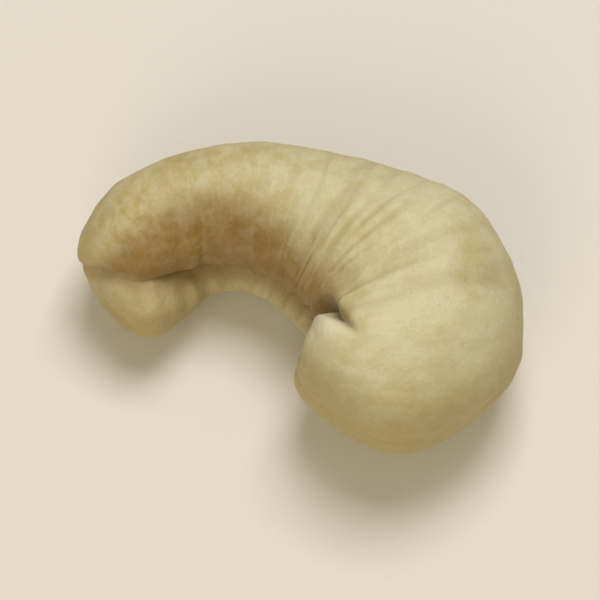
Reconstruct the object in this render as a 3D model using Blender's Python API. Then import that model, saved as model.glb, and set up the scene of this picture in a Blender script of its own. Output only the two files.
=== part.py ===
"""A whole cashew kernel, lying on its side with its curve level with the floor.

It is one solid. A thick round lobe at +X runs into a slimmer arm that curls back towards -X. Its two
seed leaves are pressed together along a seam: a deep groove in the hollow of the curve, which wraps
the end of the arm, and a faint line over the back. At the inner corner, where lobe and arm meet, the
flesh is pinched in a fold. The origin is on the floor, under the middle of the kernel's box.
"""

import bpy
import numpy as np

MM = 0.001

# The kernel's sections, from the end of the arm to the end of the lobe, in millimetres: the belly
# point (x, y) in the hollow of the curve, the back point (x, y) across from it, the heights over the
# floor of the underside, the widest line and the top, the depth of the groove along the belly, how
# far over the widest line it runs there, how far the upper face's crest leans towards the back, as a
# share of the half width, and how square the section is between that crest and the belly.
SECTIONS = np.array(
    [
        (-10.4, -1.1, -12.9, 4.1, -0.35, 4.4, 8.8, 0.75, 2.1, 0.1, 2.2),
        (-8.6, -1.25, -10.9, 5.85, -0.45, 4.1, 8.95, 0.9, 2.9, 0.2, 2.1),
        (-6.5, 0.1, -8.4, 7.15, -0.25, 3.8, 9.1, 1.05, 2.3, 0.24, 2.0),
        (-5.0, 1.3, -6.0, 7.95, 0.1, 3.7, 9.2, 1.15, 0.9, 0.25, 2.0),
        (-3.3, 1.3, -2.7, 8.1, 0.2, 3.9, 9.5, 1.2, 0.0, 0.25, 2.0),
        (-1.9, 0.45, 1.3, 7.5, 0.1, 4.3, 10.0, 1.2, 0.0, 0.22, 2.0),
        (-1.0, -0.5, 4.95, 6.35, -0.1, 4.8, 10.5, 1.2, 0.0, 0.15, 2.1),
        (-0.3, -1.45, 8.5, 4.45, -0.2, 5.3, 11.0, 0.9, 0.0, 0.12, 2.25),
        (-0.25, -2.35, 10.45, 1.5, -0.2, 5.5, 11.3, 0.35, 0.0, 0.08, 2.35),
        (-0.7, -3.5, 10.8, -2.1, -0.15, 5.6, 11.4, 0.1, 0.0, -0.04, 2.45),
        (-0.55, -6.2, 6.75, -9.1, 0.1, 5.5, 11.2, 0.06, 0.0, -0.1, 2.5),
    ]
)
END_LENGTH = 1.5  # a rounded end's length, in half widths of its last section
END_POWER = 3.0  # above 2, so that the ends are fuller than half an ellipse
SECTION_POWER = 2.2  # how square the rest of a section is: a little more than an ellipse, whose power is 2
LOBE_TOP_FULLNESS = 0.72  # under 1, so that the lobe's upper face stays level further out than its sides
CROWDING = 0.45  # how much closer the sides' points stand in the belly than on the back
BELLY_TO_BACK = 0.5  # the belly side turns into the back side over this much of a half width
LIFT_FADE = 1.1  # and the seam comes down from its height over the belly over this much

# The seam.
GROOVE_HALF_WIDTH = 0.85  # the belly groove's, over its depth
GROOVE_LEAST_HALF_WIDTH = 0.25
ARM_GROOVE_WIDENING = 0.8  # how much wider the belly groove is at the arm's end
ARM_GROOVE_REACH = 4.5
BACK_LINE_HALF_WIDTH = 0.32
BACK_LINE_DEPTH = 0.07
ARM_END_DEPTH = 0.4
ARM_END_HALF_WIDTH = 0.5
ARM_END_REACH = 1.6
ARM_END_STEP = 0.2  # how far the lower seed leaf's end stands back from the upper one's
STEP_WIDTH = 1.2  # the height over which it steps back
LOBE_END_DEPTH = 0.06
LOBE_END_REACH = 1.5
GROOVE_POWER = 1.4

# The pinched fold, followed in plan from the belly's corner out over the lobe's shoulder: x, y, depth.
FOLD = np.array(
    [
        (-1.15, -3.05, 0.6),
        (0.35, -1.55, 1.0),
        (0.95, -2.2, 0.75),
        (2.65, -4.35, 0.0),
    ]
)
FOLD_PIECES = 12  # straight pieces that its smooth path is followed by
FOLD_ARM_SIDE = 0.5  # its half width towards the arm
FOLD_LOBE_SIDE = 0.4  # and towards the lobe, whose shoulder stands steeper over it
LIP_HEIGHT = 0.3
LIP_OFFSET = 0.65
LIP_HALF_WIDTH = 0.75
LIP_LEAST_LEVEL = 0.07  # the lip fades from where the surface is level to where it is this near upright
LIP_LEVEL_RANGE = 0.71
UNDERSIDE_FOLD = 0.6  # how deep the other seed leaf's fold is beside the upper one's
FOLD_CHANGE = 2.0  # the height over which one depth turns into the other

# Broad unevenness of the flesh, and shallow furrows that fan out over the bend.
SWELL_WAVES = 9
SWELL_LENGTHS = (4.5, 8.5)
SWELL_HEIGHT = 0.045
FURROWS = 16
FURROW_DEPTH = 0.03
FURROW_HALF_WIDTH = 0.38
FURROW_HALF_TURN = 0.6  # half a furrow's length, as an angle round its ring
FURROW_PLACES = (0.42, 0.8)  # shares of the kernel's length that they lie between
FURROW_TURNS = (0.5, 2.4)  # angles from the back that they lie between, on either face
FURROW_SLANT = 0.6
FURROW_LEAST = 0.4  # the shallowest one, as a share of the deepest
SEED = 11

FLOOR_BLEND = 0.06  # the flat spots on the underside run into the round flesh over this height

RINGS = 74
SIDES = 76

KERNEL_COLOUR = (0.72, 0.57, 0.30, 1.0)
KERNEL_ROUGHNESS = 0.48


def slopes_through(knots, rows):
    """Slopes at the knots that give a smooth curve through the rows, its curvature unbroken.

    At each inner knot the cubics on both sides have the same second derivative, and at the ends it
    is zero: one linear equation a knot.
    """
    step = np.diff(knots)[:, None]
    rise = np.diff(rows, axis=0) / step
    equations = np.zeros((len(knots), len(knots)))
    wanted = np.empty_like(rows)
    equations[0, :2] = 2, 1
    wanted[0] = 3 * rise[0]
    equations[-1, -2:] = 1, 2
    wanted[-1] = 3 * rise[-1]
    for knot in range(1, len(knots) - 1):
        before, after = step[knot - 1, 0], step[knot, 0]
        equations[knot, knot - 1 : knot + 2] = after, 2 * (before + after), before
        wanted[knot] = 3 * (after * rise[knot - 1] + before * rise[knot])
    return np.linalg.solve(equations, wanted)


def cubic_through(where, knots, rows):
    """Rows read at the given places, on the smooth curve through them."""
    slopes = slopes_through(knots, rows)
    before = np.clip(np.searchsorted(knots, where, side="right") - 1, 0, len(knots) - 2)
    step = (knots[before + 1] - knots[before])[:, None]
    t = (where - knots[before])[:, None] / step
    return (
        (2 * t**3 - 3 * t**2 + 1) * rows[before]
        + (t**3 - 2 * t**2 + t) * step * slopes[before]
        + (3 * t**2 - 2 * t**3) * rows[before + 1]
        + (t**3 - t**2) * step * slopes[before + 1]
    )


def ease(value):
    """Goes smoothly from 0 to 1 as the value does."""
    value = np.clip(value, 0, 1)
    return value * value * (3 - 2 * value)


def bump(offset, half_width, power=2.0):
    """1 in the middle, falling away over the half width."""
    return np.exp(-((np.abs(offset) / half_width) ** power))


def places_along(count, length, arm_end, lobe_end):
    """Places from 0 to the length, evenly spaced on the surface, so closer where the ends round off.

    A step on a rounded end is a step of angle on its quarter circle.
    """
    arc_arm = arm_end * np.pi / 2
    arc_lobe = lobe_end * np.pi / 2
    total = length - arm_end - lobe_end + arc_arm + arc_lobe
    walked = np.linspace(0, total, count)
    on_arm_end = arm_end * (1 - np.cos(np.minimum(walked, arc_arm) / arm_end))
    on_lobe_end = length - lobe_end * (1 - np.cos(np.minimum(total - walked, arc_lobe) / lobe_end))
    between = walked - arc_arm + arm_end
    return np.where(walked < arc_arm, on_arm_end, np.where(walked > total - arc_lobe, on_lobe_end, between))


def rounding(distance, reach):
    """How full a section is at this distance from an end: 0 at the end, 1 past its reach."""
    return np.sqrt(np.clip(1 - np.clip(1 - distance / reach, 0, 1) ** END_POWER, 0, 1))


def outward(points):
    """Unit normals of the grid, from the steps along it and round it."""
    along = np.gradient(points, axis=0)
    around = np.roll(points, -1, axis=1) - np.roll(points, 1, axis=1)
    normals = np.cross(around, along)
    normals[0] = normals[1].mean(axis=0)
    normals[-1] = normals[-2].mean(axis=0)
    return normals / np.linalg.norm(normals, axis=2, keepdims=True)


def body(rings, sides):
    """The smooth kernel before its relief: points, and what the relief is placed by.

    Each ring is a squared ellipse between its belly point and its back point, with one half height
    over its widest line and another under it. Its upper half leans towards the back, and it shrinks
    to nothing at the two ends.
    """
    belly, back = SECTIONS[:, 0:2], SECTIONS[:, 2:4]
    middle = (belly + back) / 2
    knots = np.concatenate([[0], np.cumsum(np.linalg.norm(np.diff(middle, axis=0), axis=1))])
    half_widths = np.linalg.norm(back - belly, axis=1) / 2
    arm_end, lobe_end = END_LENGTH * half_widths[0], END_LENGTH * half_widths[-1]
    place = places_along(rings, knots[-1], arm_end, lobe_end)
    rows = cubic_through(place, knots, SECTIONS)
    arm_full, lobe_full = rounding(place, arm_end)[:, None], rounding(knots[-1] - place, lobe_end)[:, None]
    full = arm_full * lobe_full
    full_top = arm_full * lobe_full**LOBE_TOP_FULLNESS

    angle = np.linspace(0, 2 * np.pi, sides, endpoint=False)
    angle = angle + CROWDING * np.sin(angle)
    over_belly = (np.cos(angle) < 0) & (np.sin(angle) > 0)
    power = np.where(over_belly, rows[:, 10:11], SECTION_POWER)
    across = np.sign(np.cos(angle)) * np.abs(np.cos(angle)) ** (2 / power)
    upward = np.sign(np.sin(angle)) * np.abs(np.sin(angle)) ** (2 / power)
    middle = (rows[:, 0:2] + rows[:, 2:4]) / 2
    reach = (rows[:, 2:4] - rows[:, 0:2]) / 2
    underside, widest, top = rows[:, 4:5], rows[:, 5:6], rows[:, 6:7]
    outwards = full * across
    leaning = outwards + rows[:, 9:10] * full * np.maximum(upward, 0) ** 2
    height = upward * np.where(upward > 0, full_top * (top - widest), full * (widest - underside))
    points = np.empty((rings, sides, 3))
    points[..., :2] = middle[:, None] + leaning[..., None] * reach[:, None]
    points[..., 2] = widest + height
    belly_side = 1 - ease(outwards / BELLY_TO_BACK + 0.5)
    return points, {
        "place": place[:, None],
        "length": knots[-1],
        "angle": angle[None],
        "belly_side": belly_side,
        "over_seam": height - rows[:, 8:9] * (1 - ease(outwards / LIFT_FADE + 0.5)),
        "groove": rows[:, 7:8],
    }


def seam_depth(at):
    """How deep the seam is cut: the belly's groove, the back's faint line, and more round the ends."""
    belly = at["belly_side"]
    at_arm_end = bump(at["place"], ARM_END_REACH)
    lobe_end = LOBE_END_DEPTH * bump(at["length"] - at["place"], LOBE_END_REACH)
    back = np.maximum(BACK_LINE_DEPTH, ARM_END_DEPTH * at_arm_end + lobe_end)
    deep = at["groove"] * belly + back * (1 - belly)
    back_half_width = BACK_LINE_HALF_WIDTH + (ARM_END_HALF_WIDTH - BACK_LINE_HALF_WIDTH) * at_arm_end
    belly_half_width = np.maximum(GROOVE_HALF_WIDTH * at["groove"], GROOVE_LEAST_HALF_WIDTH)
    belly_half_width = belly_half_width * (1 + ARM_GROOVE_WIDENING * bump(at["place"], ARM_GROOVE_REACH))
    half_width = belly_half_width * belly + back_half_width * (1 - belly)
    return deep * bump(at["over_seam"], half_width, GROOVE_POWER)


def step_back(at):
    """How far the lower seed leaf stands back at the arm's end."""
    lower = 1 - ease(at["over_seam"] / STEP_WIDTH + 0.5)
    return ARM_END_STEP * lower * bump(at["place"], ARM_END_REACH)


def fold_depth(points, at):
    """How deep the pinched fold is cut, less its lip: by the distance, in plan, from the fold's path."""
    knots = np.arange(len(FOLD), dtype=float)
    path = cubic_through(np.linspace(0, knots[-1], FOLD_PIECES + 1), knots, FOLD)
    nearest = np.full(points.shape[:2], np.inf)
    cut = np.zeros(points.shape[:2])
    level = ease((np.abs(outward(points)[..., 2]) - LIP_LEAST_LEVEL) / LIP_LEVEL_RANGE)
    for start, end in zip(path[:-1], path[1:]):
        run = end[:2] - start[:2]
        offset = points[..., :2] - start[:2]
        share = np.clip((offset @ run) / (run @ run), 0, 1)
        aside = offset - share[..., None] * run
        distance = np.linalg.norm(aside, axis=-1)
        lobe_side = np.where(run[0] * aside[..., 1] - run[1] * aside[..., 0] < 0, 1.0, -1.0) * distance
        deep = start[2] + share * (end[2] - start[2])
        here = deep * bump(distance, np.where(lobe_side > 0, FOLD_LOBE_SIDE, FOLD_ARM_SIDE))
        here -= LIP_HEIGHT * level * (deep / FOLD[0, 2]) * bump(lobe_side - LIP_OFFSET, LIP_HALF_WIDTH)
        cut = np.where(distance < nearest, here, cut)
        nearest = np.minimum(nearest, distance)
    upper = ease(at["over_seam"] / FOLD_CHANGE + 0.5)
    return cut * (UNDERSIDE_FOLD + (1 - UNDERSIDE_FOLD) * upper)


def swell(points):
    """Broad soft unevenness: a sum of sine waves in directions drawn by the seed."""
    draw = np.random.default_rng(SEED)
    height = np.zeros(points.shape[:2])
    for _ in range(SWELL_WAVES):
        direction = draw.normal(size=3)
        direction /= np.linalg.norm(direction)
        wave = 2 * np.pi / draw.uniform(*SWELL_LENGTHS)
        height += SWELL_HEIGHT * np.sin(points @ direction * wave + draw.uniform(0, 2 * np.pi))
    return height


def furrow_depth(at):
    """Shallow furrows across the bend, each a short valley along its ring."""
    draw = np.random.default_rng(SEED + 1)
    cut = np.zeros_like(at["over_seam"])
    for _ in range(FURROWS):
        place = at["length"] * draw.uniform(*FURROW_PLACES)
        middle = draw.choice([-1, 1]) * draw.uniform(*FURROW_TURNS)
        slant = draw.uniform(-FURROW_SLANT, FURROW_SLANT)
        turn = (at["angle"] - middle + np.pi) % (2 * np.pi) - np.pi
        valley = bump(at["place"] - place - slant * turn, FURROW_HALF_WIDTH)
        depth = FURROW_DEPTH * draw.uniform(FURROW_LEAST, 1)
        cut += depth * valley * bump(turn, FURROW_HALF_TURN)
    return cut


def floor_flat(height):
    """Heights with the floor's flat spots: what would be under the floor is at it."""
    blend = (height + FLOOR_BLEND) ** 2 / (4 * FLOOR_BLEND)
    return np.where(height < -FLOOR_BLEND, 0, np.where(height > FLOOR_BLEND, height, blend))


def kernel_grid(rings, sides):
    """The kernel's surface in millimetres, its relief sunk or raised along the smooth body's normals."""
    points, at = body(rings, sides)
    rise = swell(points) - seam_depth(at) - step_back(at) - fold_depth(points, at) - furrow_depth(at)
    points = points + outward(points) * rise[..., None]
    points[..., 2] = floor_flat(points[..., 2])
    box = points.reshape(-1, 3)
    points[..., :2] -= (box[:, :2].min(axis=0) + box[:, :2].max(axis=0)) / 2
    return points


def flattest_halves(vertices, quads):
    """Each quad as two triangles, cut on the diagonal that bends less, which keeps narrow grooves smooth."""
    corners = vertices[quads]
    bends = []
    halves = []
    for first in (0, 1):
        a, b, c, d = ((first + turn) % 4 for turn in range(4))
        normals = [
            np.cross(corners[:, left] - corners[:, a], corners[:, right] - corners[:, a])
            for left, right in ((b, c), (c, d))
        ]
        lengths = np.linalg.norm(normals[0], axis=1) * np.linalg.norm(normals[1], axis=1)
        bends.append((normals[0] * normals[1]).sum(axis=1) / np.maximum(lengths, 1e-12))
        halves.append(np.stack([quads[:, [a, b, c]], quads[:, [a, c, d]]], axis=1))
    along_first = (bends[0] >= bends[1])[:, None, None]
    return np.where(along_first, halves[0], halves[1]).reshape(-1, 3)


def closed_grid(points):
    """Vertices and triangles of a closed skin: rings between the ends, and one point at each end."""
    rings, sides = points.shape[0] - 2, points.shape[1]
    ends = points[[0, -1]].mean(axis=1)
    vertices = np.concatenate([points[1:-1].reshape(-1, 3), ends])
    ring, side = np.mgrid[0 : rings - 1, 0:sides]
    here, beside = ring * sides + side, ring * sides + (side + 1) % sides
    quads = np.stack([here, beside, beside + sides, here + sides], axis=-1).reshape(-1, 4)
    column = np.arange(sides)
    following = (column + 1) % sides
    last = (rings - 1) * sides
    first_end = np.stack([np.full(sides, rings * sides), following, column], axis=-1)
    last_end = np.stack([np.full(sides, rings * sides + 1), last + column, last + following], axis=-1)
    return vertices, np.concatenate([flattest_halves(vertices, quads), first_end, last_end])


def kernel_material():
    material = bpy.data.materials.new("cashew_flesh")
    material.use_nodes = True
    shader = material.node_tree.nodes["Principled BSDF"]
    shader.inputs["Base Color"].default_value = KERNEL_COLOUR
    shader.inputs["Roughness"].default_value = KERNEL_ROUGHNESS
    shader.inputs["Metallic"].default_value = 0.0
    material.diffuse_color = KERNEL_COLOUR
    return material


def make_kernel():
    vertices, triangles = closed_grid(kernel_grid(RINGS, SIDES))
    mesh = bpy.data.meshes.new("cashew_kernel")
    mesh.from_pydata((vertices * MM).tolist(), [], triangles.tolist())
    mesh.shade_smooth()
    mesh.materials.append(kernel_material())
    kernel = bpy.data.objects.new("cashew_kernel", mesh)
    bpy.context.scene.collection.objects.link(kernel)
    return kernel


for leftover in list(bpy.data.objects):
    bpy.data.objects.remove(leftover, do_unlink=True)
make_kernel()
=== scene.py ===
import bpy
import numpy as np
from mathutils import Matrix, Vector


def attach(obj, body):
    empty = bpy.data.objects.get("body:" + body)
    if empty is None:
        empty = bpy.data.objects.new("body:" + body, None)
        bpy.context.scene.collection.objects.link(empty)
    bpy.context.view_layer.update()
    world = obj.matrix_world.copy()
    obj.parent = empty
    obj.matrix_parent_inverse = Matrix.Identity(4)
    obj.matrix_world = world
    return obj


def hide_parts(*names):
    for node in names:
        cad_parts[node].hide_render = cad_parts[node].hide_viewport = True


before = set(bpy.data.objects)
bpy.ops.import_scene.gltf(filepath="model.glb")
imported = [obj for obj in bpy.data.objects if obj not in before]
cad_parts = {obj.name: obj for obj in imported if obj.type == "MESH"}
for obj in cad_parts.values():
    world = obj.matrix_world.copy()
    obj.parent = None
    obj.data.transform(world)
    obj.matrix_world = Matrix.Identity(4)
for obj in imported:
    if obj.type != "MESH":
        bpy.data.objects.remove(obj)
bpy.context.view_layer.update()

# The cashew kernel. It is the bare seed of a cashew, shelled and peeled: two seed leaves of firm, waxy,
# cream flesh, pressed together along a seam and curled into a kidney. It grew as one piece and lies on its
# side, on a flat spot under its thick lobe and another under the end of its arm.

MM = 0.001

# From the end of the arm to the end of the lobe, in millimetres: the belly point (x, y) in the hollow of
# the curve, the back point (x, y) across from it, the heights over the floor of the underside, the widest
# line and the top, the depth of the belly's groove, how far over the widest line it runs there, how far
# the upper face's crest leans to the back, in half widths, and how square the section is between it and
# the belly.
SECTIONS = np.array(
    [
        (-10.4, -1.1, -12.9, 4.1, -0.35, 4.4, 8.8, 0.75, 2.1, 0.1, 2.2),
        (-8.6, -1.25, -10.9, 5.85, -0.45, 4.1, 8.95, 0.9, 2.9, 0.2, 2.1),
        (-6.5, 0.1, -8.4, 7.15, -0.25, 3.8, 9.1, 1.05, 2.3, 0.24, 2.0),
        (-5.0, 1.3, -6.0, 7.95, 0.1, 3.7, 9.2, 1.15, 0.9, 0.25, 2.0),
        (-3.3, 1.3, -2.7, 8.1, 0.2, 3.9, 9.5, 1.2, 0.0, 0.25, 2.0),
        (-1.9, 0.45, 1.3, 7.5, 0.1, 4.3, 10.0, 1.2, 0.0, 0.22, 2.0),
        (-1.0, -0.5, 4.95, 6.35, -0.1, 4.8, 10.5, 1.2, 0.0, 0.15, 2.1),
        (-0.3, -1.45, 8.5, 4.45, -0.2, 5.3, 11.0, 0.9, 0.0, 0.12, 2.25),
        (-0.25, -2.35, 10.45, 1.5, -0.2, 5.5, 11.3, 0.35, 0.0, 0.08, 2.35),
        (-0.7, -3.5, 10.8, -2.1, -0.15, 5.6, 11.4, 0.1, 0.0, -0.04, 2.45),
        (-0.55, -6.2, 6.75, -9.1, 0.1, 5.5, 11.2, 0.06, 0.0, -0.1, 2.5),
    ]
)
# Its columns, as slices, so that what each picks keeps both its dimensions.
BELLY, BACK = slice(0, 2), slice(2, 4)
UNDERSIDE, WIDEST, TOP, GROOVE_DEPTH, SEAM_LIFT, LEAN, SQUARENESS = (slice(n, n + 1) for n in range(4, 11))
END_LENGTH = 1.5  # a rounded end's length, in half widths of its last section
END_POWER = 3.0  # above 2, so that the ends are fuller than half an ellipse
SECTION_POWER = 2.2  # how square the rest of a section is: a little more than an ellipse, whose power is 2
LOBE_TOP_FULLNESS = 0.72  # under 1, so that the lobe's upper face stays level further out than its sides
CROWDING = 0.45  # how much closer the sides' points stand in the belly than on the back
BELLY_TO_BACK = 0.5  # the belly side turns into the back side over this much of a half width
LIFT_FADE = 1.1  # and the seam comes down from its height over the belly over this much
RINGS = 430
SIDES = 228


def slopes_through(knots, rows):
    """Slopes at the knots that give a smooth curve through the rows, its curvature unbroken.

    At each inner knot the cubics on both sides have the same second derivative, and at the ends it is
    zero: one linear equation a knot.
    """
    step = np.diff(knots)[:, None]
    rise = np.diff(rows, axis=0) / step
    equations = np.zeros((len(knots), len(knots)))
    wanted = np.empty_like(rows)
    equations[0, :2] = 2, 1
    wanted[0] = 3 * rise[0]
    equations[-1, -2:] = 1, 2
    wanted[-1] = 3 * rise[-1]
    for knot in range(1, len(knots) - 1):
        before, after = step[knot - 1, 0], step[knot, 0]
        equations[knot, knot - 1 : knot + 2] = after, 2 * (before + after), before
        wanted[knot] = 3 * (after * rise[knot - 1] + before * rise[knot])
    return np.linalg.solve(equations, wanted)


def cubic_through(where, knots, rows):
    """Rows read at the places: on each piece, the cubic with the rows and slopes of its two knots."""
    slopes = slopes_through(knots, rows)
    before = np.clip(np.searchsorted(knots, where, side="right") - 1, 0, len(knots) - 2)
    step = (knots[before + 1] - knots[before])[:, None]
    t = (where - knots[before])[:, None] / step
    return (
        (2 * t**3 - 3 * t**2 + 1) * rows[before]
        + (t**3 - 2 * t**2 + t) * step * slopes[before]
        + (3 * t**2 - 2 * t**3) * rows[before + 1]
        + (t**3 - t**2) * step * slopes[before + 1]
    )


def ease(value):
    """From 0 to 1 as the value goes there: 3 v squared less 2 v cubed."""
    value = np.clip(value, 0, 1)
    return value * value * (3 - 2 * value)


def bump(offset, half_width, power=2.0):
    """1 in the middle: e to the minus of the offset over the half width, to the power."""
    return np.exp(-((np.abs(offset) / half_width) ** power))


def places_along(count, length, arm_end, lobe_end):
    """Places from 0 to the length in even steps on the surface: on a rounded end, even steps of angle."""
    arc_arm = arm_end * np.pi / 2
    arc_lobe = lobe_end * np.pi / 2
    total = length - arm_end - lobe_end + arc_arm + arc_lobe
    walked = np.linspace(0, total, count)
    on_arm_end = arm_end * (1 - np.cos(np.minimum(walked, arc_arm) / arm_end))
    on_lobe_end = length - lobe_end * (1 - np.cos(np.minimum(total - walked, arc_lobe) / lobe_end))
    between = walked - arc_arm + arm_end
    past_arm_end = np.where(walked > total - arc_lobe, on_lobe_end, between)
    return np.where(walked < arc_arm, on_arm_end, past_arm_end)


def rounding(distance, reach):
    """How full a section is near an end: the square root of 1 less the cube of the share still to go."""
    return np.sqrt(np.clip(1 - np.clip(1 - distance / reach, 0, 1) ** END_POWER, 0, 1))


def outward(points):
    """Unit normals: the cross product of the grid's steps round it and along it."""
    along = np.gradient(points, axis=0)
    around = np.roll(points, -1, axis=1) - np.roll(points, 1, axis=1)
    normals = np.cross(around, along)
    normals[0] = normals[1].mean(axis=0)
    normals[-1] = normals[-2].mean(axis=0)
    return normals / np.linalg.norm(normals, axis=2, keepdims=True)


def body(rings, sides):
    """The smooth kernel before its relief: points, and what the relief is placed by.

    Each ring is a squared ellipse between its belly point and its back point, with one half height over
    its widest line and another under it, and it shrinks to nothing at the two ends.
    """
    belly, back = SECTIONS[:, BELLY], SECTIONS[:, BACK]
    middle = (belly + back) / 2
    knots = np.concatenate([[0], np.cumsum(np.linalg.norm(np.diff(middle, axis=0), axis=1))])
    half_widths = np.linalg.norm(back - belly, axis=1) / 2
    arm_end, lobe_end = END_LENGTH * half_widths[0], END_LENGTH * half_widths[-1]
    place = places_along(rings, knots[-1], arm_end, lobe_end)
    rows = cubic_through(place, knots, SECTIONS)
    arm_full = rounding(place, arm_end)[:, None]
    lobe_full = rounding(knots[-1] - place, lobe_end)[:, None]
    full = arm_full * lobe_full
    full_top = arm_full * lobe_full**LOBE_TOP_FULLNESS

    angle = np.linspace(0, 2 * np.pi, sides, endpoint=False)
    angle = angle + CROWDING * np.sin(angle)
    over_belly = (np.cos(angle) < 0) & (np.sin(angle) > 0)
    power = np.where(over_belly, rows[:, SQUARENESS], SECTION_POWER)
    across = np.sign(np.cos(angle)) * np.abs(np.cos(angle)) ** (2 / power)
    upward = np.sign(np.sin(angle)) * np.abs(np.sin(angle)) ** (2 / power)
    middle = (rows[:, BELLY] + rows[:, BACK]) / 2
    reach = (rows[:, BACK] - rows[:, BELLY]) / 2
    underside, widest, top = rows[:, UNDERSIDE], rows[:, WIDEST], rows[:, TOP]
    outwards = full * across
    leaning = outwards + rows[:, LEAN] * full * np.maximum(upward, 0) ** 2
    height = upward * np.where(upward > 0, full_top * (top - widest), full * (widest - underside))
    points = np.empty((rings, sides, 3))
    points[..., :2] = middle[:, None] + leaning[..., None] * reach[:, None]
    points[..., 2] = widest + height
    belly_side = 1 - ease(outwards / BELLY_TO_BACK + 0.5)
    return points, {
        "place": place[:, None],
        "length": knots[-1],
        "angle": angle[None],
        "full": full,
        "across": outwards,
        "belly_side": belly_side,
        "over_seam": height - rows[:, SEAM_LIFT] * (1 - ease(outwards / LIFT_FADE + 0.5)),
        "groove": rows[:, GROOVE_DEPTH],
    }


# The seam where the two seed leaves meet: along the belly a groove with a sharp crease at its bottom,
# which wraps the end of the arm, and over the back a faint broken line.
GROOVE_HALF_WIDTH = 0.85  # the belly groove's, over its depth
GROOVE_LEAST_HALF_WIDTH = 0.25
ARM_GROOVE_WIDENING = 0.8  # how much wider the belly groove is at the arm's end
ARM_GROOVE_REACH = 4.5
BACK_LINE_HALF_WIDTH = 0.32
BACK_LINE_DEPTH = 0.07
ARM_END_DEPTH = 0.4
ARM_END_HALF_WIDTH = 0.5
ARM_END_REACH = 1.6
ARM_END_STEP = 0.2  # how far the lower seed leaf's end stands back from the upper one's
STEP_WIDTH = 1.2  # the height over which it steps back
LOBE_END_DEPTH = 0.06
LOBE_END_REACH = 1.5
GROOVE_POWER = 1.4
CREASE_DEPTH = 0.28
CREASE_HALF_WIDTH = 0.17
CREASE_POWER = 1.2
ARM_CREASE_LOSS = 0.8  # how much of the crease is gone at the arm's end, where the leaves part
BACK_CREASE_DEPTH = 0.04
SEAM_WANDER = 0.08  # how far up and down the seam wanders along the belly
WANDER_LENGTHS = (2.4, 7.0)
WANDER_SEED = 21
BREAK_DEPTHS = (0.55, 0.45, 0.15)  # the back line's mean depth, how much it varies, and its least
BREAK_LENGTHS = (2.0, 6.0)
BREAK_SEED = 22
UNEVEN_WIDTH = 0.16  # how much wider and narrower the belly groove gets
UNEVEN_LENGTHS = (1.2, 4.0)
UNEVEN_SEED = 23


def waves_along(place, lengths, seed, count=7):
    """Uneven heights along the kernel, mostly from -1 to 1: a sum of sine waves drawn by the seed."""
    draw = np.random.default_rng(seed)
    height = np.zeros_like(place)
    for _ in range(count):
        height += np.sin(2 * np.pi * place / draw.uniform(*lengths) + draw.uniform(0, 2 * np.pi))
    return height / np.sqrt(count)


def seam_depth(at):
    """The depths of the seam's groove and of its crease, by the height over the seam, which wanders."""
    belly = at["belly_side"]
    wander = SEAM_WANDER * waves_along(at["place"], WANDER_LENGTHS, WANDER_SEED)
    over = at["over_seam"] + wander * belly * at["full"]
    at_arm_end = bump(at["place"], ARM_END_REACH)
    arm_end = ARM_END_DEPTH * at_arm_end
    lobe_end = LOBE_END_DEPTH * bump(at["length"] - at["place"], LOBE_END_REACH)
    mean, variation, least = BREAK_DEPTHS
    broken = mean + variation * waves_along(at["place"], BREAK_LENGTHS, BREAK_SEED)
    back = np.maximum(BACK_LINE_DEPTH * np.clip(broken, least, 1), arm_end + lobe_end)
    deep = at["groove"] * belly + back * (1 - belly)
    uneven = 1 + UNEVEN_WIDTH * waves_along(at["place"], UNEVEN_LENGTHS, UNEVEN_SEED)
    back_half_width = BACK_LINE_HALF_WIDTH + (ARM_END_HALF_WIDTH - BACK_LINE_HALF_WIDTH) * at_arm_end
    at_arm = bump(at["place"], ARM_GROOVE_REACH)
    belly_half_width = np.maximum(GROOVE_HALF_WIDTH * at["groove"], GROOVE_LEAST_HALF_WIDTH)
    belly_half_width = belly_half_width * (1 + ARM_GROOVE_WIDENING * at_arm) * uneven
    half_width = belly_half_width * belly + back_half_width * (1 - belly)
    groove = deep * bump(over, half_width, GROOVE_POWER)
    belly_crease = CREASE_DEPTH * belly * at["groove"] * (1 - ARM_CREASE_LOSS * at_arm)
    crease_depth = belly_crease + BACK_CREASE_DEPTH * (1 - belly)
    crease = crease_depth * bump(over, CREASE_HALF_WIDTH, CREASE_POWER)
    return groove, crease


def step_back(at):
    """How far the lower seed leaf stands back at the arm's end."""
    lower = 1 - ease(at["over_seam"] / STEP_WIDTH + 0.5)
    return ARM_END_STEP * lower * bump(at["place"], ARM_END_REACH)


# The pinched fold at the inner corner, where the lobe's shoulder is pressed against the arm. Its path is
# followed in plan from the belly's corner out over the shoulder: x, y, depth.
FOLD = np.array(
    [
        (-1.15, -3.05, 0.6),
        (0.35, -1.55, 1.0),
        (0.95, -2.2, 0.75),
        (2.65, -4.35, 0.0),
    ]
)
CORNER_DEPTH = FOLD[0, 2]  # the lip and the crease grow with the fold's depth, by this one
FOLD_PIECES = 40  # straight pieces that its smooth path is followed by
FOLD_ARM_SIDE = 0.5  # its half width towards the arm
FOLD_LOBE_SIDE = 0.3  # and towards the lobe, whose shoulder stands steeper over it
LIP_HEIGHT = 0.3
LIP_OFFSET = 0.65
LIP_HALF_WIDTH = 0.75
LIP_LEAST_LEVEL = 0.07  # the lip fades from where the surface is level to where it is this near upright
LIP_LEVEL_RANGE = 0.71
UNDERSIDE_FOLD = 0.6  # how deep the other seed leaf's fold is beside the upper one's
FOLD_CHANGE = 2.0  # the height over which one depth turns into the other
FOLD_CREASE_DEPTH = 0.35
FOLD_CREASE_HALF_WIDTH = 0.17
FOLD_CREASE_POWER = 1.3


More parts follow.
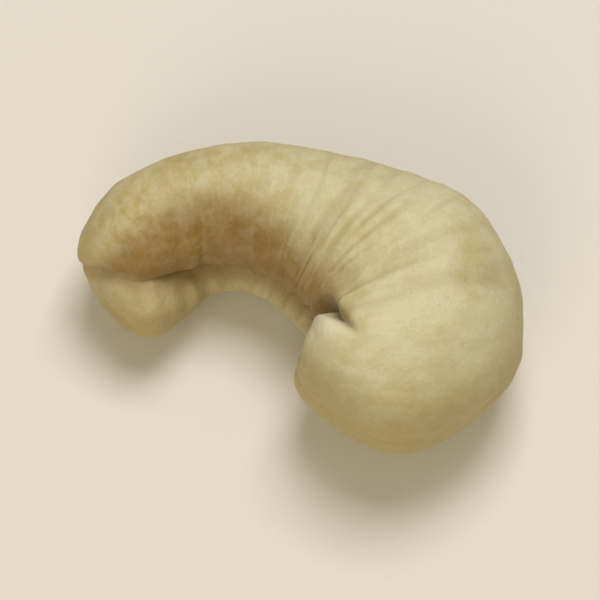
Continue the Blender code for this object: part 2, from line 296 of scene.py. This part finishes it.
def fold_depth(points, at):
    """How deep the fold is cut, and how high its lip stands, by the distance in plan from its path."""
    knots = np.arange(len(FOLD), dtype=float)
    path = cubic_through(np.linspace(0, knots[-1], FOLD_PIECES + 1), knots, FOLD)
    nearest = np.full(points.shape[:2], np.inf)
    cut = np.zeros(points.shape[:2])
    lip = np.zeros(points.shape[:2])
    for start, end in zip(path[:-1], path[1:]):
        run = end[:2] - start[:2]
        offset = points[..., :2] - start[:2]
        share = np.clip((offset @ run) / (run @ run), 0, 1)
        aside = offset - share[..., None] * run
        distance = np.linalg.norm(aside, axis=-1)
        lobe_side = np.where(run[0] * aside[..., 1] - run[1] * aside[..., 0] < 0, 1.0, -1.0) * distance
        deep = start[2] + share * (end[2] - start[2])
        closer = distance < nearest
        half_width = np.where(lobe_side > 0, FOLD_LOBE_SIDE, FOLD_ARM_SIDE)
        narrow = bump(distance, FOLD_CREASE_HALF_WIDTH, FOLD_CREASE_POWER)
        crease = FOLD_CREASE_DEPTH * (deep / CORNER_DEPTH) * narrow
        cut = np.where(closer, deep * bump(distance, half_width) + crease, cut)
        raised = LIP_HEIGHT * (deep / CORNER_DEPTH) * bump(lobe_side - LIP_OFFSET, LIP_HALF_WIDTH)
        lip = np.where(closer, raised, lip)
        nearest = np.minimum(nearest, distance)
    upper = ease(at["over_seam"] / FOLD_CHANGE + 0.5)
    share = UNDERSIDE_FOLD + (1 - UNDERSIDE_FOLD) * upper
    level = ease((np.abs(outward(points)[..., 2]) - LIP_LEAST_LEVEL) / LIP_LEVEL_RANGE)
    return cut * share, lip * share * level


# The flesh's own unevenness: a broad swell, shallow furrows over the bend, fine wrinkles that fan out
# from the inner corner, and the small dents and pits of a nut that has been shelled and tumbled.
SWELL_WAVES = 9
SWELL_LENGTHS = (4.5, 8.5)
SWELL_HEIGHT = 0.045
FURROWS = 16
FURROW_DEPTH = 0.03
FURROW_HALF_WIDTH = 0.38
FURROW_HALF_TURN = 0.6  # half a furrow's length, as an angle round its ring
FURROW_PLACES = (0.42, 0.8)  # shares of the kernel's length that they lie between
FURROW_TURNS = (0.5, 2.4)  # angles from the back that they lie between, on either face
FURROW_SLANT = 0.6
FURROW_LEAST = 0.4  # the shallowest one, as a share of the deepest
SEED = 11
WRINKLES = 130
WRINKLE_MIDDLE, WRINKLE_SPREAD = 0.53, 0.13  # where they lie, as shares of the kernel's length
WRINKLE_PLACES = (0.14, 0.72)  # and the shares that they are kept between
WRINKLE_TURNS = (0.5, 2.75)
WRINKLE_SLANT = 0.5
WRINKLE_DEPTHS = (0.012, 0.046)
WRINKLE_LEAST = 0.35  # how deep they are on the back, as a share of their depth in the belly
WRINKLE_HALF_WIDTHS = (0.11, 0.26)
WRINKLE_HALF_TURNS = (0.2, 0.6)
BEND, BEND_TURNS, BEND_SHIFT = 0.12, 4, 9  # each bends to and fro as a sine of its turn and its place
CREST_HEIGHT, CREST_OFFSET, CREST_WIDTH = 0.55, 2, 1.3  # the soft crest beside it, by its own size
CROWDED_GAIN, CROWDED_LEAST = 1.3, 0.2
DENTS = 34
DENT_DEPTHS = (0.015, 0.05)
DENT_HALF_WIDTHS = (0.25, 0.9)
DENT_MARGIN = 12  # of this many equal parts of the rings, the first and the last have no dents
PIT = (-0.05, 2.0)
PIT_DEPTH = 0.11
PIT_HALF_WIDTH = 0.17
GRAIN_WAVES = 36
GRAIN_LENGTHS = (0.9, 2.6)
GRAIN_HEIGHT = 0.0045
LEAF_END_LUMPS = 1.2  # how much higher the grain is on the lower seed leaf's end, beside elsewhere
LEAF_END_REACH = 4.0


def swell(points, waves, lengths, height, seed):
    """Soft unevenness: a sum of sine waves in directions drawn by the seed."""
    draw = np.random.default_rng(seed)
    total = np.zeros(points.shape[:2])
    for _ in range(waves):
        direction = draw.normal(size=3)
        direction /= np.linalg.norm(direction)
        wave = 2 * np.pi / draw.uniform(*lengths)
        total += height * np.sin(points @ direction * wave + draw.uniform(0, 2 * np.pi))
    return total


def furrow_depth(at):
    """Shallow furrows across the bend, each a short valley along its ring."""
    draw = np.random.default_rng(SEED + 1)
    cut = np.zeros_like(at["over_seam"])
    for _ in range(FURROWS):
        place = at["length"] * draw.uniform(*FURROW_PLACES)
        middle = draw.choice([-1, 1]) * draw.uniform(*FURROW_TURNS)
        slant = draw.uniform(-FURROW_SLANT, FURROW_SLANT)
        turn = (at["angle"] - middle + np.pi) % (2 * np.pi) - np.pi
        valley = bump(at["place"] - place - slant * turn, FURROW_HALF_WIDTH)
        depth = FURROW_DEPTH * draw.uniform(FURROW_LEAST, 1)
        cut += depth * valley * bump(turn, FURROW_HALF_TURN)
    return cut


def wrinkle_depth(points, at):
    """Fine wrinkles, most near the corner: each a narrow valley along its ring, a soft crest beside it.

    They are shallower where the rings crowd: in proportion to the rings' distance over their places' step.
    """
    spacing = np.linalg.norm(np.gradient(points, axis=0), axis=-1) / np.gradient(at["place"], axis=0)
    draw = np.random.default_rng(SEED + 2)
    cut = np.zeros_like(at["over_seam"])
    for _ in range(WRINKLES):
        place = at["length"] * np.clip(draw.normal(WRINKLE_MIDDLE, WRINKLE_SPREAD), *WRINKLE_PLACES)
        middle = draw.choice([-1, 1]) * draw.uniform(*WRINKLE_TURNS)
        slant = draw.uniform(-WRINKLE_SLANT, WRINKLE_SLANT)
        half_width = draw.uniform(*WRINKLE_HALF_WIDTHS)
        turn = (at["angle"] - middle + np.pi) % (2 * np.pi) - np.pi
        bent = BEND * np.sin(BEND_TURNS * turn + BEND_SHIFT * place)
        aside = at["place"] - place - slant * turn - bent
        crest = bump(aside - CREST_OFFSET * half_width, CREST_WIDTH * half_width)
        shape = bump(aside, half_width) - CREST_HEIGHT * crest
        to_belly = WRINKLE_LEAST + (1 - WRINKLE_LEAST) * abs(middle) / WRINKLE_TURNS[1]
        depth = draw.uniform(*WRINKLE_DEPTHS) * to_belly
        cut += depth * shape * bump(turn, draw.uniform(*WRINKLE_HALF_TURNS))
    return cut * np.clip(spacing * CROWDED_GAIN, CROWDED_LEAST, 1)


def dent_depth(points):
    """Small round dents at points of the skin drawn by the seed, and one pit on the upper face."""
    draw = np.random.default_rng(SEED + 3)
    rings, sides = points.shape[:2]
    cut = np.zeros((rings, sides))
    for _ in range(DENTS):
        ring = draw.integers(rings // DENT_MARGIN, rings * (DENT_MARGIN - 1) // DENT_MARGIN)
        centre = points[ring, draw.integers(sides)]
        distance = np.linalg.norm(points - centre, axis=-1)
        cut += draw.uniform(*DENT_DEPTHS) * bump(distance, draw.uniform(*DENT_HALF_WIDTHS))
    from_pit = np.linalg.norm(points[..., :2] - np.array(PIT), axis=-1)
    from_pit = np.where(points[..., 2] > points[..., 2].mean(), from_pit, np.inf)
    return cut + PIT_DEPTH * bump(from_pit, PIT_HALF_WIDTH)


FLOOR_BLEND = 0.06  # the flat spots on the underside run into the round flesh over this height


def floor_flat(height):
    """Heights with the floor's flat spots: what would be under the floor is at it."""
    blend = (height + FLOOR_BLEND) ** 2 / (4 * FLOOR_BLEND)
    return np.where(height < -FLOOR_BLEND, 0, np.where(height > FLOOR_BLEND, height, blend))


# What the finish and the painted light and shade follow: how fast each look grows over the skin, and
# where it starts.
LOWER_CHANGE, LOWER_SHIFT = 0.8, 0.4  # the lower seed leaf, by the height over the seam
CROWN_GAIN, CROWN_START = 1.5, 0.1  # the level upper and lower faces, by the normal's height
ARM_GAIN, ARM_START = 2.2, 0.3  # the arm, by the share of the kernel's length
WALL_SHIFT, WALL_FADE = 0.42, 0.52  # the hollow's wall, in half widths: it reaches further out on the arm
HOLLOW_GAIN = 1.2
STRIP_REACH = 3
GROOVE_FULL = 0.9
WRINKLE_FULL = 0.05
RING_RADIUS = 4  # the fibres follow each ring as if it were a circle of this radius


def kernel_skin(rings, sides):
    """The kernel's surface in millimetres, and what its finish, painted light and shade follow over the
    skin.

    The relief is sunk or raised along the smooth body's normals, and the box is centred over the origin.
    """
    points, at = body(rings, sides)
    groove, crease = seam_depth(at)
    cut, lip = fold_depth(points, at)
    wrinkles = wrinkle_depth(points, at) + furrow_depth(at)
    rise = swell(points, SWELL_WAVES, SWELL_LENGTHS, SWELL_HEIGHT, SEED)
    lower = 1 - ease(at["over_seam"] / LOWER_CHANGE + LOWER_SHIFT)
    lumps = 1 + LEAF_END_LUMPS * (lower * bump(at["place"], LEAF_END_REACH))
    rise += swell(points, GRAIN_WAVES, GRAIN_LENGTHS, GRAIN_HEIGHT, SEED + 4) * lumps
    rise -= groove + crease + step_back(at) + cut - lip + wrinkles + dent_depth(points)
    normals = outward(points)
    skin = points + normals * rise[..., None]
    skin[..., 2] = floor_flat(skin[..., 2])
    box = skin.reshape(-1, 3)
    skin[..., :2] -= (box[:, :2].min(axis=0) + box[:, :2].max(axis=0)) / 2
    round_ring = np.stack([np.cos(at["angle"]), np.sin(at["angle"])], axis=-1) * at["full"][..., None]
    along_ring = np.broadcast_to(at["place"], points.shape[:2])
    # Painted light and shade by how each face turns: paler where level, darker honey where steep.
    crown = ease(np.abs(normals[..., 2]) * CROWN_GAIN - CROWN_START)
    # The arm is where honey shade is painted.
    along_arm = 1 - ease(at["place"] / at["length"] * ARM_GAIN - ARM_START)
    arm = np.broadcast_to(along_arm, points.shape[:2])
    # The hollow's wall, under the upper leaf, is where dark tan shade is painted.
    wall = ease((WALL_SHIFT * arm - at["across"] - WALL_SHIFT) / WALL_FADE)
    # The strip of the lower leaf under the seam is where pale light is painted.
    strip = at["belly_side"] * lower * (1 - ease(-at["over_seam"] / STRIP_REACH))
    finish_and_painted_light = {
        "ring_place": np.concatenate([along_ring[..., None], RING_RADIUS * round_ring], axis=-1),
        "groove": np.clip(groove / GROOVE_FULL, 0, 1),
        "crease": crease / CREASE_DEPTH,
        "fold": np.clip(cut / CORNER_DEPTH, 0, 1),
        "lip": lip / LIP_HEIGHT,
        "wrinkle": wrinkles / WRINKLE_FULL,
        "crown": crown,
        "arm": arm,
        "hollow": wall * (1 - lower) * np.clip(at["groove"] * HOLLOW_GAIN, 0, 1),
        "strip": strip * np.clip(at["groove"], 0, 1),
    }
    return skin, finish_and_painted_light


def over_skin(grid):
    """A closed skin's values from a grid of them: its rings between the ends, and a mean for each end."""
    ends = grid[[0, -1]].mean(axis=1)
    return np.concatenate([grid[1:-1].reshape(-1, *grid.shape[2:]), ends])


def skin_faces(rings, sides):
    """The closed skin's faces: quads between neighbouring rings, and triangles round each end's point."""
    ring, side = np.mgrid[0 : rings - 3, 0:sides]
    here, beside = ring * sides + side, ring * sides + (side + 1) % sides
    quads = np.stack([here, beside, beside + sides, here + sides], axis=-1).reshape(-1, 4)
    column = np.arange(sides)
    following = (column + 1) % sides
    last_ring, arm_point = (rings - 3) * sides, (rings - 2) * sides
    lobe_point = arm_point + 1
    arm_end = np.stack([np.full(sides, arm_point), following, column], axis=-1)
    lobe_end = np.stack([np.full(sides, lobe_point), last_ring + column, last_ring + following], axis=-1)
    return [*quads.tolist(), *arm_end.tolist(), *lobe_end.tolist()]


skin, finish_and_painted_light = kernel_skin(RINGS, SIDES)
mesh = bpy.data.meshes.new("kernel")
mesh.from_pydata((over_skin(skin) * MM).tolist(), [], skin_faces(RINGS, SIDES))
mesh.shade_smooth()
for name, grid in finish_and_painted_light.items():
    values = over_skin(grid)
    kind, field = ("FLOAT_VECTOR", "vector") if values.ndim == 2 else ("FLOAT", "value")
    mesh.attributes.new(name, kind, "POINT").data.foreach_set(field, values.ravel())
kernel = bpy.data.objects.new("kernel", mesh)
bpy.context.scene.collection.objects.link(kernel)


class Channel:
    """A node's output. Sums written on one that carries a number add the Math nodes for them."""

    def __init__(self, nodes, socket):
        self.nodes = nodes
        self.socket = socket

    def worked(self, operation, *values):
        return self.nodes.add("ShaderNodeMath", {"operation": operation}, dict(enumerate(values)))

    def __add__(self, other):
        return self.worked("ADD", self, other)

    def __rsub__(self, other):
        return self.worked("SUBTRACT", other, self)

    def __mul__(self, other):
        return self.worked("MULTIPLY", self, other)

    __radd__ = __add__
    __rmul__ = __mul__


class Nodes:
    """The nodes of one material. add() makes a node, sets it, feeds its sockets and gives an output."""

    def __init__(self, material):
        self.tree = material.node_tree

    def add(self, kind, settings=None, inputs=None, output=0):
        node = self.tree.nodes.new(kind)
        for name, value in (settings or {}).items():
            setattr(node, name, value)
        for name, value in (inputs or {}).items():
            self.feed(node.inputs[name], value)
        return Channel(self, node.outputs[output])

    def feed(self, socket, value):
        if isinstance(value, Channel):
            self.tree.links.new(value.socket, socket)
        else:
            socket.default_value = value

    def attribute(self, name, output="Fac"):
        return self.add("ShaderNodeAttribute", {"attribute_name": name}, output=output)

    def noise(self, place, scale, detail=3.0, roughness=0.6):
        inputs = {"Vector": place, "Scale": scale, "Detail": detail, "Roughness": roughness}
        return self.add("ShaderNodeTexNoise", None, inputs)

    def between(self, value, limits):
        """0 under the lower limit and 1 over the upper one, eased between them."""
        low, high = limits
        inputs = {"Value": value, "From Min": low, "From Max": high}
        return self.add("ShaderNodeMapRange", {"interpolation_type": "SMOOTHSTEP"}, inputs)

    def mixed(self, share, first, second, way="MIX"):
        """The second colour over the first one, by the share.

        A Mix node's sockets share their names, so they go by number: 6 and 7 take the colours, and
        output 2 gives the mixed one.
        """
        settings = {"data_type": "RGBA", "blend_type": way}
        return self.add("ShaderNodeMix", settings, {0: share, 6: first, 7: second}, output=2)


# Waxy seed flesh: cream with pale clouds and fibres and golden patches. It has a few brown specks of the
# skin that was peeled off, a satin surface, and light that soaks a little way in. Painted light and shade
# lie over it: honey along the arm and on the steep sides and tan in the hollow, the fold and the wrinkles
# are painted shade, the seam's tan is partly painted shade, and paler level faces, a pale strip and a pale
# lip are painted light.
CREAM = (0.64, 0.59, 0.35, 1.0)
# Pale: the clouds' and fibres' own tone, and painted light on the level faces, the strip and the lip.
PALE_AND_PAINTED_LIGHT = (0.76, 0.72, 0.54, 1.0)
GOLDEN = (0.52, 0.41, 0.16, 1.0)
# Painted shade: the honey laid along the arm and on the steep sides.
PAINTED_SHADE_HONEY = (0.45, 0.332, 0.1, 1.0)
# Tan: painted shade in the hollow, the fold and the wrinkles; in the seam partly the flesh's own tan,
# partly painted shade.
TAN_AND_PAINTED_SHADE = (0.295, 0.174, 0.032, 1.0)
BROWN = (0.22, 0.10, 0.03, 1.0)

# The patterns' scales, in repeats to the millimetre, and how the fibres are drawn out along their rings.
MOTTLE_SCALE = 0.26
CLOUD_SCALE = 1.1
GRAIN_SCALE = 7.0
FIBRE_STRETCH = (2.0, 0.55, 0.55)
FIBRE_SCALE = 1.0
SPECK_SCALE = 0.62
PORE_SCALE = 2.1
LUMP_SCALE = 3.2
GRIT_SCALE = 11.0

# What each pattern or attribute has to pass to begin to show, and to show in full. The radii are in cells
# of a Voronoi pattern, and a cell has a speck if its own random number is over the choice.
GOLDEN_LIMITS = (0.38, 0.66)
ARM_SHADE_LIMITS = (0.3, 0.6)
CLOUD_LIMITS = (0.36, 0.72)
FIBRE_LIMITS = (0.48, 0.8)
WRINKLE_LIMITS = (0.1, 0.9)
GROOVE_LIMITS = (0.25, 0.95)
FOLD_LIMITS = (0.2, 0.9)
LIP_LIMITS = (0.05, 0.8)
CREASE_LIMITS = (0.2, 0.9)
CREASE_CLOUDS = (0.3, 0.6)
SPECK_RADII = (0.03, 0.085)
SPECK_CHOICE = (0.72, 0.74)
ROUGH_CLOUDS = (0.35, 0.7)
PORE_RADII = (0.03, 0.2)
PORE_CLOUDS = (0.4, 0.6)

# The most that each colour covers those under it. The honey and the hollow's, fold's and wrinkles' tan
# are painted shade, the seam's tan is partly painted shade, and the pale of the strip, the lip and the
# level faces is painted light.
GOLDEN_PATCHES = 0.5
ARM_PAINTED_SHADE, ARM_SHADE_PATCHES = 0.55, 0.3
STRIP_WITHOUT_ARM_SHADE = 0.45  # the share of the arm's painted shade that its strip goes without
SIDE_PAINTED_SHADE = 0.77
HOLLOW_PAINTED_SHADE = 0.95
STRIP_PAINTED_LIGHT = 0.28
CLOUD_PALE, CROWN_CLOUD_PAINTED_LIGHT = 0.12, 0.24
FIBRE_PALE, CROWN_FIBRE_PAINTED_LIGHT = 0.14, 0.22
HOLLOW_WITHOUT_PALE = 0.6  # the share of the clouds and fibres that the hollow's painted shade goes without
WRINKLE_PAINTED_SHADE = 0.2
GROOVE_TAN_AND_SHADE = 0.5
FOLD_PAINTED_SHADE = 0.75
LIP_PAINTED_HIGHLIGHT = 0.95
CREASE_BROWN = 0.6
SPECK_BROWN = 0.35
LEAST_SHADE, GRAIN_SHADE = 0.93, 0.14  # what they are all multiplied by, and what the grain adds to it

LEAST_ROUGHNESS = 0.34
GRAIN_ROUGHNESS = 0.16
CLOUD_ROUGHNESS = 0.12
GROOVE_ROUGHNESS = 0.12

# Relief that is finer than the mesh: its unit in millimetres, and heights in that unit.
RELIEF_UNIT = 0.01
LUMP_HEIGHT = 4.6
FIBRE_HEIGHT = 2.4
GRIT_HEIGHT = 1.5
PORE_HEIGHT = 1.6

flesh = bpy.data.materials.new("cashew_flesh")
flesh.use_nodes = True
nodes = Nodes(flesh)
shader = flesh.node_tree.nodes["Principled BSDF"]

metres = nodes.add("ShaderNodeTexCoord", output="Object")
place = nodes.add("ShaderNodeVectorMath", {"operation": "SCALE"}, {0: metres, "Scale": 1 / MM})
ring_place = nodes.attribute("ring_place", "Vector")
along_fibres = {0: ring_place, 1: FIBRE_STRETCH}
stretched = nodes.add("ShaderNodeVectorMath", {"operation": "MULTIPLY"}, along_fibres)

mottle = nodes.noise(place, MOTTLE_SCALE, roughness=0.55)
cloud = nodes.noise(place, CLOUD_SCALE, detail=4.0)
grain = nodes.noise(place, GRAIN_SCALE)
fibre = nodes.noise(stretched, FIBRE_SCALE)
crown, arm, hollow, strip = map(nodes.attribute, ("crown", "arm", "hollow", "strip"))
groove, crease, fold, lip, wrinkle = map(nodes.attribute, ("groove", "crease", "fold", "lip", "wrinkle"))

# About one cell in four of a Voronoi pattern has a speck at its point.
cells = {"feature": "F1", "distance": "EUCLIDEAN"}
speck_cells = {"Vector": place, "Scale": SPECK_SCALE, "Randomness": 1.0}
from_speck = nodes.add("ShaderNodeTexVoronoi", cells, speck_cells, "Distance")
cell_colour = nodes.add("ShaderNodeTexVoronoi", cells, speck_cells, "Color")
chosen = nodes.add("ShaderNodeSeparateColor", None, {0: cell_colour}, "Red")
speck = (1 - nodes.between(from_speck, SPECK_RADII)) * nodes.between(chosen, SPECK_CHOICE)

# From the lowest layer up: a colour, and how much of it covers the ones before.
arm_painted_shade = arm * (ARM_PAINTED_SHADE + ARM_SHADE_PATCHES * nodes.between(mottle, ARM_SHADE_LIMITS))
# The clouds and fibres are paler at random, and more so on the level faces, as painted light.
pale_cloud_and_light = nodes.between(cloud, CLOUD_LIMITS) * (CLOUD_PALE + CROWN_CLOUD_PAINTED_LIGHT * crown)
pale_fibre_and_light = nodes.between(fibre, FIBRE_LIMITS) * (FIBRE_PALE + CROWN_FIBRE_PAINTED_LIGHT * crown)
out_of_hollow_shade = 1 - HOLLOW_WITHOUT_PALE * hollow
layers = [
    (GOLDEN, GOLDEN_PATCHES * nodes.between(mottle, GOLDEN_LIMITS)),
    # Painted shade along the arm, uneven in patches.
    (PAINTED_SHADE_HONEY, arm_painted_shade * (1 - STRIP_WITHOUT_ARM_SHADE * strip)),
    # Painted shade: honey on the steep sides.
    (PAINTED_SHADE_HONEY, (1 - crown) * SIDE_PAINTED_SHADE),
    # Painted shade: dark tan on the hollow's wall.
    (TAN_AND_PAINTED_SHADE, hollow * HOLLOW_PAINTED_SHADE),
    # Painted light on the strip.
    (PALE_AND_PAINTED_LIGHT, strip * STRIP_PAINTED_LIGHT),
    (PALE_AND_PAINTED_LIGHT, pale_cloud_and_light * out_of_hollow_shade),
    (PALE_AND_PAINTED_LIGHT, pale_fibre_and_light * out_of_hollow_shade),
    # Painted shade in the wrinkles' valleys.
    (TAN_AND_PAINTED_SHADE, nodes.between(wrinkle, WRINKLE_LIMITS) * WRINKLE_PAINTED_SHADE),
    # The seam's groove: tan that is partly the flesh's own and partly painted shade.
    (TAN_AND_PAINTED_SHADE, nodes.between(groove, GROOVE_LIMITS) * GROOVE_TAN_AND_SHADE),
    # Painted shade in the fold.
    (TAN_AND_PAINTED_SHADE, nodes.between(fold, FOLD_LIMITS) * FOLD_PAINTED_SHADE),
    # Painted highlight on the fold's lip.
    (PALE_AND_PAINTED_LIGHT, nodes.between(lip, LIP_LIMITS) * LIP_PAINTED_HIGHLIGHT),
    (BROWN, nodes.between(crease, CREASE_LIMITS) * nodes.between(cloud, CREASE_CLOUDS) * CREASE_BROWN),
    (BROWN, speck * SPECK_BROWN),
]
colour = CREAM
for layer, share in layers:
    colour = nodes.mixed(share, colour, layer)
shade = LEAST_SHADE + GRAIN_SHADE * grain
grey = nodes.add("ShaderNodeCombineColor", None, {0: shade, 1: shade, 2: shade})
colour = nodes.mixed(1.0, colour, grey, "MULTIPLY")
nodes.feed(shader.inputs["Base Color"], colour)

rough = LEAST_ROUGHNESS + GRAIN_ROUGHNESS * grain
rough = rough + CLOUD_ROUGHNESS * nodes.between(cloud, ROUGH_CLOUDS) + GROOVE_ROUGHNESS * groove
nodes.feed(shader.inputs["Roughness"], rough)

pore_cells = {"Vector": place, "Scale": PORE_SCALE, "Randomness": 1.0}
from_pore = nodes.add("ShaderNodeTexVoronoi", cells, pore_cells, "Distance")
pores = nodes.between(from_pore, PORE_RADII) * nodes.between(cloud, PORE_CLOUDS)
relief = LUMP_HEIGHT * nodes.noise(place, LUMP_SCALE, detail=4.0) + FIBRE_HEIGHT * fibre
relief = relief + GRIT_HEIGHT * nodes.noise(place, GRIT_SCALE) + PORE_HEIGHT * pores
bumps = {"Strength": 1.0, "Distance": RELIEF_UNIT * MM, "Height": relief}
nodes.feed(shader.inputs["Normal"], nodes.add("ShaderNodeBump", None, bumps))

shader.inputs["Metallic"].default_value = 0.0
shader.inputs["IOR"].default_value = 1.47
shader.inputs["Subsurface Weight"].default_value = 0.3
shader.inputs["Subsurface Radius"].default_value = (1.0, 0.55, 0.22)
shader.inputs["Subsurface Scale"].default_value = 1.6 * MM
flesh.diffuse_color = CREAM
mesh.materials.append(flesh)

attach(kernel, "root")
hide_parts("cashew_kernel")

# The floor. A wide matt sheet of pale card, flat and plain, a hair under the kernel's flat spots.
FLOOR_HALF = 1.2
FLOOR_DROP = 0.00002
FLOOR_COLOUR = (0.78, 0.755, 0.70, 1.0)
TOOTH_SCALE = 2500.0
CARD_ROUGHNESS, TOOTH_ROUGHNESS = 0.55, 0.2
mesh = bpy.data.meshes.new("floor")
corners = [(-1, -1), (1, -1), (1, 1), (-1, 1)]
points = [(FLOOR_HALF * x, FLOOR_HALF * y, -FLOOR_DROP) for x, y in corners]
mesh.from_pydata(points, [], [(0, 1, 2, 3)])
floor = bpy.data.objects.new("floor", mesh)
bpy.context.scene.collection.objects.link(floor)
card = bpy.data.materials.new("pale_card")
card.use_nodes = True
nodes = Nodes(card)
shader = card.node_tree.nodes["Principled BSDF"]
metres = nodes.add("ShaderNodeTexCoord", output="Object")
tooth = nodes.noise(metres, TOOTH_SCALE, roughness=0.5)
shader.inputs["Base Color"].default_value = FLOOR_COLOUR
nodes.feed(shader.inputs["Roughness"], CARD_ROUGHNESS + TOOTH_ROUGHNESS * tooth)
mesh.materials.append(card)

# The light. A large soft box over the back of the kernel, a little to the right, a weaker, warmer one in
# front and to the left, and a warm surround that fills the shade.
LIT_POINT = Vector((0, 0, 0.005))
SURROUND_COLOUR = (1.0, 0.89, 0.69, 1.0)
SURROUND_STRENGTH = 0.28


def soft_box(name, place, size, power, colour):
    """A square area light at a place in metres, turned to face the kernel."""
    light = bpy.data.lights.new(name, "AREA")
    light.shape = "SQUARE"
    light.size = size
    light.energy = power
    light.color = colour
    box = bpy.data.objects.new(name, light)
    bpy.context.scene.collection.objects.link(box)
    box.location = place
    box.rotation_euler = (LIT_POINT - box.location).to_track_quat("-Z", "Y").to_euler()


soft_box("key", place=(0.05, 0.15, 0.44), size=0.20, power=1.28, colour=(1.0, 0.985, 0.96))
soft_box("front", place=(-0.10, -0.31, 0.30), size=0.30, power=0.57, colour=(1.0, 0.91, 0.70))

world = bpy.data.worlds.new("surround")
world.use_nodes = True
surround = world.node_tree.nodes["Background"]
surround.inputs["Color"].default_value = SURROUND_COLOUR
surround.inputs["Strength"].default_value = SURROUND_STRENGTH
bpy.context.scene.world = world
bpy.context.scene.view_settings.view_transform = "Standard"

# The camera. A long lens that looks down on the kernel's upper face from the side of its hollow.
CAMERA_LENS = 370
CAMERA_DISTANCE = 0.315
CAMERA_ELEVATION = np.radians(68)
CAMERA_TARGET = Vector((0.0, 0.0, 0.0052))
camera = bpy.data.objects.new("camera", bpy.data.cameras.new("camera"))
bpy.context.scene.collection.objects.link(camera)
camera.data.lens = CAMERA_LENS
camera.data.sensor_width = 36
camera.data.clip_start = 0.01
camera.data.clip_end = 10
back = Vector((0.0, -np.cos(CAMERA_ELEVATION), np.sin(CAMERA_ELEVATION)))
camera.location = CAMERA_TARGET + CAMERA_DISTANCE * back
camera.rotation_euler = (-back).to_track_quat("-Z", "Y").to_euler()
bpy.context.scene.camera = camera
